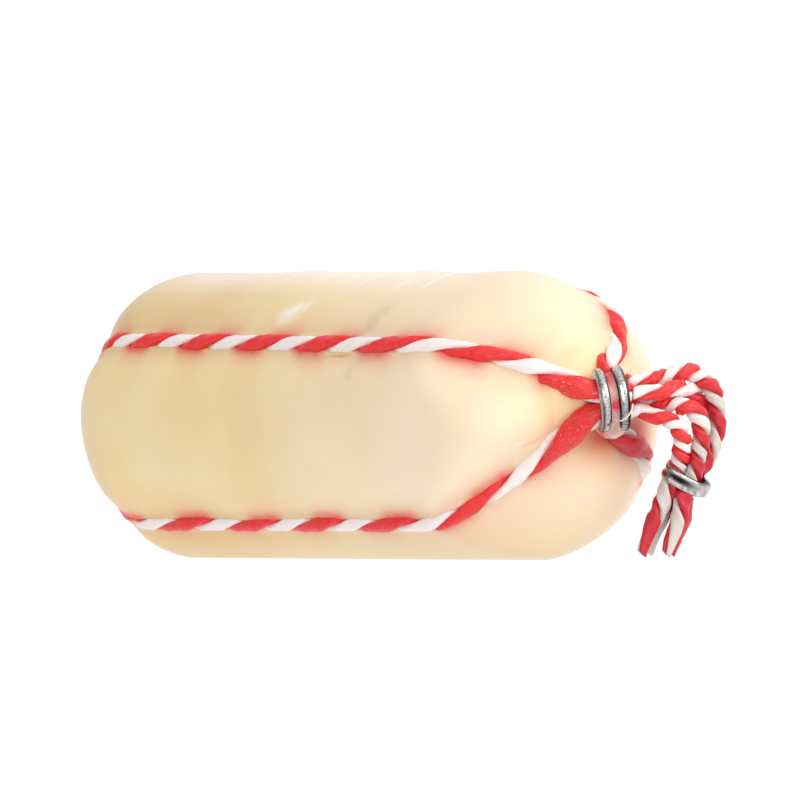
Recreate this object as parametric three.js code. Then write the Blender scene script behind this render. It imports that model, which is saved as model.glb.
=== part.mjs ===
// A small waxed provolone cheese, tied with two red and white twines that run round it lengthwise.
// The twines cross at the left end, are gathered by a double metal clip at the right end, and their four
// tails fold down as a tassel that a second clip holds together.
// Millimetres, +Z up. The cheese lies along X with its gathered end towards +X, on a small flat spot.
// The origin is on the table, under the middle of the cheese and its gathering clip. The places below are
// given from a point on the table under the log's own middle, MIDDLE_X short of that origin.

import * as THREE from "three";

const DEG = Math.PI / 180;
const MIDDLE_X = 3.6;

// The cheese: a slightly tapered log with two rounded ends
const BODY = {
  leftRadius: 35.35,
  rightRadius: 33.6,
  leftEdge: -53.0,
  rightEdge: 51.3,
  leftCap: 24.7,
  rightCap: 31.0,
  leftRoundness: 2.09,
  rightRoundness: 1.99,
  flatSpotDepth: 1.0,
};
// The share of the row parameter, from 0 at the left pole to 1 at the right, that each end takes
const LEFT_SHARE = 0.28;
const RIGHT_SHARE = 0.3;

// The furrows that the twines press into the cheese, which leave four soft lobes between them. They widen
// from one share of the row parameter to another, towards the gather.
const FURROW = {
  depth: 1.85,
  leftInset: 1.6,
  leftWidth: 6.4,
  rightWidth: 14.2,
  widensFrom: 0.5,
  widensTo: 0.85,
  gather: 79.9,
};
// Where each furrow runs round the log, in degrees from the side that faces -Y, going up, with the edge
// and the roundness of its own bend into the gathered end. The lean and the turn are the degrees that the
// angle gains towards the left pole and towards the gather.
const LINES = [
  { angle: 29.5, lean: 3.7, turn: 8, edge: 41.8, roundness: 1.52 },
  { angle: 113.1, lean: 0, turn: 0, edge: 50.7, roundness: 2.31 },
  { angle: 222.9, lean: 0, turn: -14, edge: 52.9, roundness: 2.33 },
  { angle: 309.3, lean: 0, turn: 0, edge: 42.2, roundness: 1.15 },
];
// The gathered end stands a little off the axis of the log
const GATHER_SHIFT = { y: -6.1, z: 3.5, reach: 10 };
const DIMPLE = { depth: 9, radius: 9 };
const CROSSING_PIT = { depth: 3.4, inner: 6, outer: 11 };

// The twine and the narrow channel that it lies in
const TWINE_RADIUS = 2.0;
const TWINE_SINK = 0.4;
const CHANNEL_GAP = 0.5;
const CHANNEL_EDGE = 2.65;
const CHANNEL_COLUMNS = [-2.65, -2.35, -1.4, 0, 1.4, 2.35, 2.65];
const CHANNEL_FADE = { inner: 5, outer: 10 };
const CHANNEL_LEAST_RADIUS = 5.5;
const TWINE_SIDES = 8;
const TWINE_STEPS = 112;
const CROSSING_HUMP = { height: 4.7, radius: 5.5 };

// The grid of the cheese's surface
const LOBE_COLUMNS = 8;
const LEFT_ROWS = 11;
const STRAIGHT_ROWS = 11;
const RIGHT_ROWS = 15;
// The step of the row parameter that gives an outline's slope, and the least radius that an arc is taken at
const SLOPE_STEP = 0.001;
const LEAST_RADIUS = 0.5;

// The neck of four twines: where it starts, its direction, and the places of the twines round it.
// ALONG is the level direction to the right of someone who looks at the front of the tied end.
const ALONG = new THREE.Vector3(Math.SQRT1_2, Math.SQRT1_2, 0);
const NECK_START = fromView(51.5, 60.8, 35.6);
const NECK = fromView(0.98, -0.139, 0.14).normalize();
const NECK_UP = new THREE.Vector3(0, 0, 1).addScaledVector(NECK, -NECK.z).normalize();
const NECK_FRONT = NECK_UP.clone().cross(NECK).multiplyScalar(-1);
const NECK_PITCH_RADIUS = 3.25;
const NECK_ANGLES = [12, 100, 192, 280];
const NECK_END = 7.6;
// Where each twine leaves its furrow on the gathered end, as a distance from the log's axis, where it enters
// the neck, and the points (right, toward, up) that lead it from the neck back to its furrow. The second and
// third twines come in behind the clip, through its open back.
const LEADS = [
  { leave: 13, enter: 0, points: [] },
  { leave: 14.5, enter: 5.2, points: [[54.6, 58.8, 40.6], [54.1, 56.7, 43.8]] },
  { leave: 17, enter: 5.2, points: [[54.6, 56.9, 32.6], [55.4, 55.8, 29.6], [59.6, 52.4, 26.7]] },
  { leave: 13, enter: 0, points: [] },
];
// The points of a twine along its furrow, and how far short of the left pole they stop, as a share of the row
const FURROW_ROUTE = { points: 36, stopShort: 0.012 };

// The gathering clip: two C-shaped bands of flattened wire, open at the back. The shares give the section's
// narrower inner face and its rounded shoulders.
const BAND = {
  width: 2.3,
  thickness: 2.1,
  innerRadius: 5.55,
  innerShare: 0.8,
  shoulderShare: 0.75,
  steps: 22,
};
const BANDS = [
  { name: "clip_band_left", along: 1.0, from: 86, to: -97 },
  { name: "clip_band_right", along: 5.35, from: 88, to: -99 },
];

// The tassel: four free tails, as points (right, toward, up) from the origin to the right of the log,
// toward the front and up from the table
const TAIL_RADIUS = 1.75;
const TAIL_STEPS = 20;
const TAILS = {
  tail_front: [
    [59.6, 62.9, 37.4], [62.8, 62.4, 37.5], [66.3, 61.7, 37.7], [69.1, 60.5, 38.4], [71.9, 57.6, 38.4],
    [74.1, 54.5, 37.5], [76.0, 52.5, 34.8], [76.6, 52.0, 31.0], [76.1, 52.3, 27.9], [74.3, 53.4, 24.8],
    [71.8, 54.7, 22.6], [69.4, 55.1, 19.8], [67.8, 55.1, 16.1], [67.2, 55.0, 12.2], [66.3, 55.0, 9.2],
    [64.8, 55.0, 5.5], [63.6, 55.0, 1.7],
  ],
  tail_top: [
    [58.7, 59.2, 39.9], [62.2, 58.3, 40.2], [65.9, 57.5, 40.6], [69.0, 57.4, 41.6], [72.8, 56.9, 42.1],
    [76.2, 56.1, 40.5], [78.3, 55.3, 37.3], [79.2, 55.0, 33.4], [79.2, 55.0, 30.2], [78.4, 55.2, 26.3],
    [76.8, 55.3, 22.5], [74.1, 55.2, 19.5], [72.0, 55.1, 16.2], [71.3, 55.0, 12.4], [71.1, 55.0, 9.3],
    [69.9, 55.0, 5.5], [68.5, 55.0, 1.7],
  ],
  tail_back: [
    [58.9, 56.5, 36.0], [61.5, 56.4, 36.2], [64.3, 57.3, 35.5], [67.2, 58.3, 35.0], [70.0, 59.8, 34.7],
    [72.7, 60.8, 33.9], [74.7, 60.7, 31.8], [75.3, 60.0, 28.8], [74.9, 59.5, 25.6], [74.4, 59.1, 22.5],
    [73.5, 59.0, 19.4], [72.2, 58.9, 16.5], [71.0, 59.0, 13.6], [70.4, 59.2, 10.5], [69.6, 59.5, 7.4],
    [68.4, 60.0, 4.5], [67.3, 60.5, 1.5],
  ],
  tail_bottom: [
    [59.8, 60.2, 33.5], [61.6, 60.1, 33.6], [64.0, 60.7, 32.5], [66.2, 61.3, 31.9], [68.9, 61.8, 30.6],
    [70.3, 61.7, 29.0], [70.9, 60.9, 26.2], [70.7, 60.1, 24.0], [70.1, 59.1, 21.3], [69.2, 58.9, 19.3],
    [68.2, 58.9, 17.1], [67.0, 59.0, 14.1], [66.2, 59.1, 11.8], [64.8, 59.4, 9.0], [63.7, 59.7, 6.8],
    [62.5, 60.1, 3.9], [61.7, 60.5, 1.6],
  ],
};

// The tassel's own clip: one rounded band with a pressed bulge on its right
const TASSEL_CLIP = {
  centre: fromView(71.15, 57.0, 19.2),
  tilt: 32,
  innerHalf: 4.3,
  squareness: 5,
  thickness: 0.9,
  crown: 0.15,
  roundedShare: 0.6,
  width: 3.4,
  bulge: 1.0,
  bulgeSpread: 24,
  sides: 36,
};

const COLOURS = { cheese: 0xf3deb5, twine: 0xe08080, clip: 0x9c9a98 };

// A point given to the right, toward the front and up, all from the origin.
function fromView(right, toward, up) {
  const c = Math.SQRT1_2;
  return new THREE.Vector3(c * (right + toward), c * (right - toward), up);
}

// A point (s, r) of a rounded end: s along the log, r from its axis, at an angle of 0 on the pole.
function capPoint(edge, depth, radius, roundness, angle) {
  const power = 2 / roundness;
  return [edge + depth * Math.cos(angle) ** power, radius * Math.sin(angle) ** power];
}

// The log's outline (s, r) at t, with the given edge, depth and roundness of its right end.
function outline(t, radii, leftDepth, right) {
  if (t < LEFT_SHARE) {
    const angle = ((t / LEFT_SHARE) * Math.PI) / 2;
    return capPoint(BODY.leftEdge, -leftDepth, radii[0], BODY.leftRoundness, angle);
  }
  if (t > 1 - RIGHT_SHARE) {
    const angle = (((1 - t) / RIGHT_SHARE) * Math.PI) / 2;
    return capPoint(right.edge, right.depth, radii[1], right.roundness, angle);
  }
  const u = (t - LEFT_SHARE) / (1 - LEFT_SHARE - RIGHT_SHARE);
  return [
    THREE.MathUtils.lerp(BODY.leftEdge, right.edge, u),
    THREE.MathUtils.lerp(radii[0], radii[1], u),
  ];
}

// The outline over the top of the lobes.
function lobe(t) {
  return outline(t, [BODY.leftRadius, BODY.rightRadius], BODY.leftCap, {
    edge: BODY.rightEdge,
    depth: BODY.rightCap,
    roundness: BODY.rightRoundness,
  });
}

// The outline along the floor of furrow k.
function furrow(t, k) {
  const radii = [BODY.leftRadius - FURROW.depth, BODY.rightRadius - FURROW.depth];
  return outline(t, radii, BODY.leftCap - FURROW.leftInset, {
    edge: LINES[k].edge,
    depth: FURROW.gather - LINES[k].edge,
    roundness: LINES[k].roundness,
  });
}

// The outward direction (s, r) of furrow k's outline at t.
function furrowNormal(t, k) {
  const a = furrow(Math.max(t - SLOPE_STEP, 0), k);
  const b = furrow(Math.min(t + SLOPE_STEP, 1), k);
  const ds = b[0] - a[0];
  const dr = b[1] - a[1];
  const length = Math.hypot(ds, dr);
  return [-dr / length, ds / length];
}

// The height of the log's axis, which falls with the taper so that the underside is level.
function axisHeight(s) {
  const u = (s - BODY.leftEdge) / (BODY.rightEdge - BODY.leftEdge);
  return BODY.leftRadius - BODY.flatSpotDepth + (BODY.rightRadius - BODY.leftRadius) * u;
}

// Turns s along the log, r from its axis and an angle round it into a point, with the gathered end shifted.
function place(s, r, angle) {
  const from = BODY.rightEdge - GATHER_SHIFT.reach;
  const along = THREE.MathUtils.clamp((s - from) / (FURROW.gather - from), 0, 1);
  const inward = THREE.MathUtils.clamp(1 - r / BODY.rightRadius, 0, 1);
  return new THREE.Vector3(
    s,
    -r * Math.cos(angle) + GATHER_SHIFT.y * along * inward,
    axisHeight(s) + r * Math.sin(angle) + GATHER_SHIFT.z * along * inward,
  );
}

// The angle of furrow k round the log at t, in radians.
function lineAngle(t, k) {
  const rim = 1 - RIGHT_SHARE;
  const toLeft = Math.max(0, 1 - t / rim);
  const toRight = Math.max(0, (t - rim) / RIGHT_SHARE);
  return (LINES[k].angle + LINES[k].lean * toLeft + LINES[k].turn * toRight) * DEG;
}

// The signed angle from b to a, within half a turn.
function turnBetween(a, b) {
  return THREE.MathUtils.euclideanModulo(a - b + Math.PI, 2 * Math.PI) - Math.PI;
}

// How deep the channel is at a sideways distance from the twine's middle.
function channelDepth(offset) {
  const radius = TWINE_RADIUS + CHANNEL_GAP;
  const across = Math.abs(offset);
  if (across >= CHANNEL_EDGE) return 0;
  return TWINE_SINK + Math.sqrt(Math.max(radius * radius - across * across, 0));
}

// A point of the cheese's skin: lobes blended into the furrows, less the channel, pit and dimple.
function skin(t, angle, line, offset) {
  const [ls, lr] = lobe(t);
  const grow = THREE.MathUtils.mapLinear(t, FURROW.widensFrom, FURROW.widensTo, 0, 1);
  const width = THREE.MathUtils.lerp(FURROW.leftWidth, FURROW.rightWidth, THREE.MathUtils.clamp(grow, 0, 1));
  const weights = LINES.map((_, k) => {
    const arc = Math.max(lr, LEAST_RADIUS) * turnBetween(angle, lineAngle(t, k));
    return Math.exp(-((arc / width) ** 2));
  });
  const total = Math.max(1, weights.reduce((a, b) => a + b));
  let s = ls;
  let r = lr;
  weights.forEach((w, k) => {
    const [fs, fr] = furrow(t, k);
    s += ((fs - ls) * w) / total;
    r += ((fr - lr) * w) / total;
  });
  if (t < 0.5) {
    s += CROSSING_PIT.depth * (1 - THREE.MathUtils.smoothstep(r, CROSSING_PIT.inner, CROSSING_PIT.outer));
  } else {
    s -= DIMPLE.depth * Math.exp(-((r / DIMPLE.radius) ** 2));
  }
  const fade = THREE.MathUtils.smoothstep(r, CHANNEL_FADE.inner, CHANNEL_FADE.outer);
  const depth = line === null ? 0 : channelDepth(offset) * fade;
  const [ns, nr] = furrowNormal(t, line ?? 0);
  const point = place(s - ns * depth, Math.max(r - nr * depth, 0), angle);
  point.z = Math.max(point.z, 0);
  return point;
}

// The columns of the skin's grid: seven across each channel, then the lobe up to the next one.
function columnsOf() {
  const columns = [];
  LINES.forEach((_, line) => {
    CHANNEL_COLUMNS.forEach((offset) => columns.push({ line, offset, across: 0 }));
    for (let i = 1; i <= LOBE_COLUMNS; i++) columns.push({ line, offset: 0, across: i / (LOBE_COLUMNS + 1) });
  });
  return columns;
}

// The rows of the skin's grid, as values of t from pole to pole.
function rowsOf() {
  const rows = [];
  for (let i = 0; i < LEFT_ROWS; i++) rows.push((LEFT_SHARE * i) / LEFT_ROWS);
  const straight = 1 - LEFT_SHARE - RIGHT_SHARE;
  for (let i = 0; i < STRAIGHT_ROWS; i++) rows.push(LEFT_SHARE + (straight * i) / STRAIGHT_ROWS);
  for (let i = 0; i <= RIGHT_ROWS; i++) rows.push(1 - RIGHT_SHARE * (1 - i / RIGHT_ROWS));
  return rows;
}

// The angle that half the width of channel k takes round the log at t.
function channelHalfAngle(t, k) {
  return CHANNEL_EDGE / Math.max(furrow(t, k)[1], CHANNEL_LEAST_RADIUS);
}

// The cheese: a turned solid whose points are moved onto the skin.
function cheeseGeometry() {
  const rows = rowsOf().reverse();
  const columns = columnsOf();
  const profile = rows.map((t) => new THREE.Vector2(Math.sin(Math.PI * t), t));
  const geometry = new THREE.LatheGeometry(profile, columns.length);
  const position = geometry.attributes.position;
  for (let i = 0; i <= columns.length; i++) {
    const column = columns[i % columns.length];
    rows.forEach((t, j) => {
      const here = lineAngle(t, column.line);
      const next = lineAngle(t, (column.line + 1) % LINES.length);
      const sector = THREE.MathUtils.euclideanModulo(next - here, 2 * Math.PI);
      const half = channelHalfAngle(t, column.line);
      const nextHalf = channelHalfAngle(t, (column.line + 1) % LINES.length);
      const inChannel = here + (half * column.offset) / CHANNEL_EDGE;
      const onLobe = here + half + column.across * (sector - half - nextHalf);
      const point = column.across
        ? skin(t, onLobe, null, 0)
        : skin(t, inChannel, column.line, column.offset);
      if (j === 0 || j === rows.length - 1) point.copy(skin(t, 0, null, 0));
      position.setXYZ(i * rows.length + j, point.x, point.y, point.z);
    });
  }
  return geometry;
}

// A round section with flat sides.
function section(radius, sides) {
  const points = [];
  for (let i = 0; i < sides; i++) {
    const a = (2 * Math.PI * i) / sides;
    points.push(new THREE.Vector2(radius * Math.cos(a), radius * Math.sin(a)));
  }
  return new THREE.Shape(points);
}

function tube(points, radius, sides, steps) {
  const path = new THREE.CatmullRomCurve3(points, false, "centripetal");
  return new THREE.ExtrudeGeometry(section(radius, sides), { steps, extrudePath: path });
}

// The place of twine k in the neck, at a distance along it.
function neckPoint(k, along) {
  const a = NECK_ANGLES[k] * DEG;
  return NECK_START.clone()
    .addScaledVector(NECK, along)
    .addScaledVector(NECK_FRONT, NECK_PITCH_RADIUS * Math.cos(a))
    .addScaledVector(NECK_UP, NECK_PITCH_RADIUS * Math.sin(a));
}

// Twine k along its furrow, from the neck to the left pole, which it stops short of.
function furrowRoute(k, hump) {
  const lead = LEADS[k];
  const points = [neckPoint(k, NECK_END)];
  if (lead.enter < NECK_END / 2) points.push(neckPoint(k, NECK_END / 2));
  points.push(neckPoint(k, lead.enter), ...lead.points.map((p) => fromView(...p)));
  const rightRadius = BODY.rightRadius - FURROW.depth;
  const leave = Math.asin((lead.leave / rightRadius) ** (LINES[k].roundness / 2));
  const start = 1 - (RIGHT_SHARE * leave) / (Math.PI / 2);
  for (let i = 0; i <= FURROW_ROUTE.points; i++) {
    const t = THREE.MathUtils.lerp(start, FURROW_ROUTE.stopShort, i / FURROW_ROUTE.points);
    const [s, r] = furrow(t, k);
    const [ns, nr] = furrowNormal(t, k);
    const crossing = t < LEFT_SHARE ? hump * Math.exp(-((r / CROSSING_HUMP.radius) ** 2)) : 0;
    const lift = crossing - TWINE_SINK;
    points.push(place(s + ns * lift, r + nr * lift, lineAngle(t, k)));
  }
  return points;
}

// A whole net twine: in along furrow a, over the left pole and back along furrow b.
function twineGeometry(a, b, hump) {
  const points = [...furrowRoute(a, hump), ...furrowRoute(b, hump).reverse()];
  return tube(points, TWINE_RADIUS, TWINE_SIDES, TWINE_STEPS);
}

// The section of the flattened wire: crowned outside, flat inside, its width along the neck.
function bandSection() {
  const w = BAND.width / 2;
  const h = BAND.thickness / 2;
  const shoulder = BAND.shoulderShare;
  const shape = new THREE.Shape();
  shape.moveTo(-h, -w * BAND.innerShare);
  shape.lineTo(0, -w);
  shape.lineTo(h * shoulder, -w * shoulder);
  shape.lineTo(h, 0);
  shape.lineTo(h * shoulder, w * shoulder);
  shape.lineTo(0, w);
  shape.lineTo(-h, w * BAND.innerShare);
  return shape;
}

// One band of the gathering clip, swept round the neck from one end angle to the other.
function bandGeometry(band) {
  const radius = BAND.innerRadius + BAND.thickness / 2;
  const centre = NECK_START.clone().addScaledVector(NECK, band.along);
  class Arc extends THREE.Curve {
    getPoint(u, target = new THREE.Vector3()) {
      const a = THREE.MathUtils.lerp(band.from, band.to, u) * DEG;
      return target
        .copy(centre)
        .addScaledVector(NECK_FRONT, radius * Math.cos(a))
        .addScaledVector(NECK_UP, radius * Math.sin(a));
    }
    computeFrenetFrames(segments) {
      const frames = { tangents: [], normals: [], binormals: [] };
      for (let i = 0; i <= segments; i++) {
        const out = this.getPoint(i / segments).sub(centre).normalize();
        frames.normals.push(out);
        frames.binormals.push(NECK.clone().negate());
        frames.tangents.push(NECK.clone().cross(out));
      }
      return frames;
    }
  }
  return new THREE.ExtrudeGeometry(bandSection(), { steps: BAND.steps, extrudePath: new Arc() });
}

// The tassel's clip: a turned band, pressed square round the four tails, whose outer face swells into the
// bulge.
function tasselClipGeometry() {
  const c = TASSEL_CLIP;
  const w = c.width / 2;
  const inner = c.innerHalf;
  const outer = inner + c.thickness;
  const edge = inner + c.thickness * c.roundedShare;
  const shoulder = w * c.roundedShare;
  const profile = [
    [inner, -w], [edge, -w], [outer, -shoulder], [outer + c.crown, 0],
    [outer, shoulder], [edge, w], [inner, w], [inner, -w],
  ].map(([x, y]) => new THREE.Vector2(x, y));
  const geometry = new THREE.LatheGeometry(profile, c.sides);
  const position = geometry.attributes.position;
  const point = new THREE.Vector3();
  for (let i = 0; i < position.count; i++) {
    point.fromBufferAttribute(position, i);
    const turn = Math.atan2(point.z, point.x);
    const corner = Math.abs(Math.cos(turn)) ** c.squareness + Math.abs(Math.sin(turn)) ** c.squareness;
    const square = inner * (corner ** (-1 / c.squareness) - 1);
    const outward = (Math.hypot(point.x, point.z) - inner) / c.thickness;
    const swell = c.bulge * outward * Math.exp(-((turn / DEG / c.bulgeSpread) ** 2));
    const radius = Math.hypot(point.x, point.z) + square + swell;
    position.setXYZ(i, radius * Math.cos(turn), point.y, radius * Math.sin(turn));
  }
  const tilt = c.tilt * DEG;
  const right = ALONG.clone().multiplyScalar(Math.cos(tilt)).setZ(-Math.sin(tilt));
  const axis = ALONG.clone().multiplyScalar(Math.sin(tilt)).setZ(Math.cos(tilt));
  const basis = new THREE.Matrix4().makeBasis(right, axis, right.clone().cross(axis));
  geometry.applyMatrix4(basis.setPosition(c.centre));
  return geometry;
}

function named(name, geometry, material) {
  const mesh = new THREE.Mesh(geometry, material);
  mesh.name = name;
  return mesh;
}

const cheeseMaterial = new THREE.MeshStandardMaterial({ color: COLOURS.cheese, roughness: 0.45 });
const twineMaterial = new THREE.MeshStandardMaterial({ color: COLOURS.twine, roughness: 0.6 });
const clipMaterial = new THREE.MeshStandardMaterial({ color: COLOURS.clip, roughness: 0.35, metalness: 1 });

const provolone = new THREE.Group();
provolone.add(named("cheese", cheeseGeometry(), cheeseMaterial));
provolone.add(named("twine_under", twineGeometry(0, 2, 0), twineMaterial));
provolone.add(named("twine_over", twineGeometry(1, 3, CROSSING_HUMP.height), twineMaterial));
BANDS.forEach((band) => provolone.add(named(band.name, bandGeometry(band), clipMaterial)));
Object.entries(TAILS).forEach(([name, route]) => {
  const points = route.map((p) => fromView(...p));
  provolone.add(named(name, tube(points, TAIL_RADIUS, TWINE_SIDES, TAIL_STEPS), twineMaterial));
});
provolone.add(named("tassel_clip", tasselClipGeometry(), clipMaterial));
provolone.children.forEach((mesh) => mesh.position.setX(-MIDDLE_X));

export default provolone;
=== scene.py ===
import math

import bpy
import numpy as np
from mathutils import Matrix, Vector


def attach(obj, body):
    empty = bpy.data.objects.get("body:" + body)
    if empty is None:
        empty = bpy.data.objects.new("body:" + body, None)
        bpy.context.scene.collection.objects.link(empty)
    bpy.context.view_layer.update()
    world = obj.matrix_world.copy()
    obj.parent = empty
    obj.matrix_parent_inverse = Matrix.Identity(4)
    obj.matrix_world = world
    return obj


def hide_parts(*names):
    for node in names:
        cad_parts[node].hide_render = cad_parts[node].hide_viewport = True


# A small provolone under a thin wax coat, tied lengthwise with two red and white twines. The twines cross
# at the left end, pass through a double metal clip at the right end, and their four tails fold down as a
# tassel that a second clip holds. Shapes are worked out in millimetres and put into the meshes in metres.

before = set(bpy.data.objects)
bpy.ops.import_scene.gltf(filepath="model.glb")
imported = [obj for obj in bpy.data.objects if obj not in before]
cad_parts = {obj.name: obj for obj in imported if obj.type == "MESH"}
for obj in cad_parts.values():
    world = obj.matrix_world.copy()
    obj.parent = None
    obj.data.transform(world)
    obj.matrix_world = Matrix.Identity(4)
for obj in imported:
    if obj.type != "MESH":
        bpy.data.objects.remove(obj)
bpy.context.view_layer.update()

MM = 0.001
DEG = math.pi / 180
# The shapes are given from a point on the table under the log's own middle, this far short of the origin
MIDDLE = np.array([3.6, 0.0, 0.0])

# The log and its rounded ends, in millimetres
LEFT_RADIUS = 35.35
RIGHT_RADIUS = 33.6
LEFT_EDGE = -53.0
RIGHT_EDGE = 51.3
LEFT_CAP = 24.7
RIGHT_CAP = 31.0
LEFT_ROUNDNESS = 2.09
RIGHT_ROUNDNESS = 1.99
FLAT_SPOT_DEPTH = 1.0
LEFT_SHARE = 0.28
RIGHT_SHARE = 0.3

# The furrows under the twines, which widen over a stretch of the row parameter
FURROW_DEPTH = 1.85
FURROW_LEFT_INSET = 1.6
FURROW_LEFT_WIDTH = 6.4
FURROW_RIGHT_WIDTH = 14.2
FURROW_WIDENS = (0.5, 0.85)
# Where the furrows meet, along the log
GATHER = 79.9
# Each furrow's angle round the log from the front, how far it leans at the left end and turns at the right,
# in degrees, and where and how roundly it bends in to the gather
LINES = [
    {"angle": 29.5, "lean": 3.7, "turn": 8, "edge": 41.8, "roundness": 1.52},
    {"angle": 113.1, "lean": 0, "turn": 0, "edge": 50.7, "roundness": 2.31},
    {"angle": 222.9, "lean": 0, "turn": -14, "edge": 52.9, "roundness": 2.33},
    {"angle": 309.3, "lean": 0, "turn": 0, "edge": 42.2, "roundness": 1.15},
]
# The gather's shift off the axis and the dimple in it, and the pressed crossing at the left pole
GATHER_SHIFT = {"y": -6.1, "z": 3.5, "reach": 10}
DIMPLE = {"depth": 1.5, "radius": 6}
CROSSING_PIT = {"depth": 1.4, "inner": 6, "outer": 11}
CROSSING_HUMP = {"height": 4.7, "radius": 5.5}
LEAST_RADIUS = 0.5

# The twine: two plies laid round each other, in millimetres
TWINE_RADIUS = 2.0
TWINE_SINK = 0.4
PLY_OFFSET = 0.92
PLY_THICK = 1.08
PLY_WIDE = 1.62
TAIL_RADIUS = 1.75

# The neck that the clip holds
NECK_PITCH_RADIUS = 3.25
NECK_ANGLES = [12, 100, 192, 280]
NECK_END = 7.6
# The strands wind a little inside the clip, by this many degrees from its tassel end to its cheese end
NECK_WIND = 20
# How far from the axis each twine leaves the cheese, where it enters the clip, and points between the two
LEADS = [
    {"leave": 13, "enter": 0, "points": []},
    {"leave": 14.5, "enter": 5.2, "points": [[54.6, 58.8, 40.6], [54.1, 56.7, 43.8]]},
    {"leave": 17, "enter": 5.2, "points": [[54.6, 56.9, 32.6], [55.4, 55.8, 29.6], [59.6, 52.4, 26.7]]},
    {"leave": 13, "enter": 0, "points": []},
]

# The routes of the four free tails, as points (right, toward, up) listed one by one
TAILS = {
    "tail_front": [
        [59.6, 62.9, 37.4], [62.8, 62.4, 37.5], [66.3, 61.7, 37.7], [69.1, 60.5, 38.4], [71.9, 57.6, 38.4],
        [74.1, 54.5, 37.5], [76.0, 52.5, 34.8], [76.6, 52.0, 31.0], [76.1, 52.3, 27.9], [74.3, 53.4, 24.8],
        [71.8, 54.7, 22.6], [69.4, 55.1, 19.8], [67.8, 55.1, 16.1], [67.2, 55.0, 12.2], [66.3, 55.0, 9.2],
        [64.8, 55.0, 5.5], [63.6, 55.0, 1.7],
    ],
    "tail_top": [
        [58.7, 59.2, 39.9], [62.2, 58.3, 40.2], [65.9, 57.5, 40.6], [69.0, 57.4, 41.6], [72.8, 56.9, 42.1],
        [76.2, 56.1, 40.5], [78.3, 55.3, 37.3], [79.2, 55.0, 33.4], [79.2, 55.0, 30.2], [78.4, 55.2, 26.3],
        [76.8, 55.3, 22.5], [74.1, 55.2, 19.5], [72.0, 55.1, 16.2], [71.3, 55.0, 12.4], [71.1, 55.0, 9.3],
        [69.9, 55.0, 5.5], [68.5, 55.0, 1.7],
    ],
    "tail_back": [
        [58.9, 56.5, 36.0], [61.5, 56.4, 36.2], [64.3, 57.3, 35.5], [67.2, 58.3, 35.0], [70.0, 59.8, 34.7],
        [72.7, 60.8, 33.9], [74.7, 60.7, 31.8], [75.3, 60.0, 28.8], [74.9, 59.5, 25.6], [74.4, 59.1, 22.5],
        [73.5, 59.0, 19.4], [72.2, 58.9, 16.5], [71.0, 59.0, 13.6], [70.4, 59.2, 10.5], [69.6, 59.5, 7.4],
        [68.4, 60.0, 4.5], [67.3, 60.5, 1.5],
    ],
    "tail_bottom": [
        [59.8, 60.2, 33.5], [61.6, 60.1, 33.6], [64.0, 60.7, 32.5], [66.2, 61.3, 31.9], [68.9, 61.8, 30.6],
        [70.3, 61.7, 29.0], [70.9, 60.9, 26.2], [70.7, 60.1, 24.0], [70.1, 59.1, 21.3], [69.2, 58.9, 19.3],
        [68.2, 58.9, 17.1], [67.0, 59.0, 14.1], [66.2, 59.1, 11.8], [64.8, 59.4, 9.0], [63.7, 59.7, 6.8],
        [62.5, 60.1, 3.9], [61.7, 60.5, 1.6],
    ],
}


def from_view(points):
    """Points (right, toward, up), right and toward being the level directions of the photograph's view."""
    p = np.asarray(points, float)
    right, toward, up = p[..., 0], p[..., 1], p[..., 2]
    return np.stack([(right + toward), (right - toward), up * math.sqrt(2)], -1) / math.sqrt(2)


def unit(v):
    """Vectors divided by their lengths."""
    return v / np.linalg.norm(v, axis=-1, keepdims=True)


def smooth(x, low, high):
    """A smooth step: 3u^2 - 2u^3 of the share u of the way from low to high."""
    u = np.clip((x - low) / (high - low), 0, 1)
    return u * u * (3 - 2 * u)


def bell(x, width):
    """A bell curve: exp of minus the square of x over the width."""
    return np.exp(-((x / width) ** 2))


def circle(count):
    """So many angles, evenly spaced all the way round."""
    return np.linspace(0, 2 * math.pi, count, endpoint=False)


def from_table(x, table):
    """The value at x in a table of (place, value), on a straight line between its neighbours."""
    return np.interp(x, *zip(*table))


NECK_START = from_view([51.5, 60.8, 35.6])
NECK = unit(from_view([0.98, -0.139, 0.14]))
NECK_UP = unit(np.array([0, 0, 1]) - NECK * NECK[2])
NECK_FRONT = np.cross(NECK, NECK_UP)
TOWARD = from_view([0, 1, 0])

# The steps of the twines' and tails' routes, and the stretch over the left pole where the frames and phases
# of a twine's two halves are brought together, in millimetres
TWINE_STEP = 0.6
TAIL_STEP = 0.35
POLE_BLEND = 16
POLE_EASE = 60
# How many points guide a twine along its furrow, and the row parameter of the last, just short of the pole
ROUTE_POINTS = 37
ROUTE_STOP = 0.012
# A ply's section, and the two slow waves by which it bulges, in radians for each millimetre
PLY_SIDES = 14
PLY_SWELL = {"height": 0.035, "fast": 1.7, "slow": 0.61, "start": 1.0}
# The red ply's place at the neck in degrees, and the pitch in millimetres at distances from the neck
PHASES = [93, 8, 275, 136]
PITCHES = [
    [(0, 34), (12, 34), (24, 20), (34, 24), (50, 27), (66, 20.8), (100, 19.8), (160, 17.1)],
    [(0, 19), (25, 19), (60, 21)],
    [(0, 24), (40, 24), (60, 21)],
    [(0, 45), (14, 45), (26, 27.4), (55, 26.2), (80, 21.5), (100, 20.7), (125, 24), (160, 22.7)],
]
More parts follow.
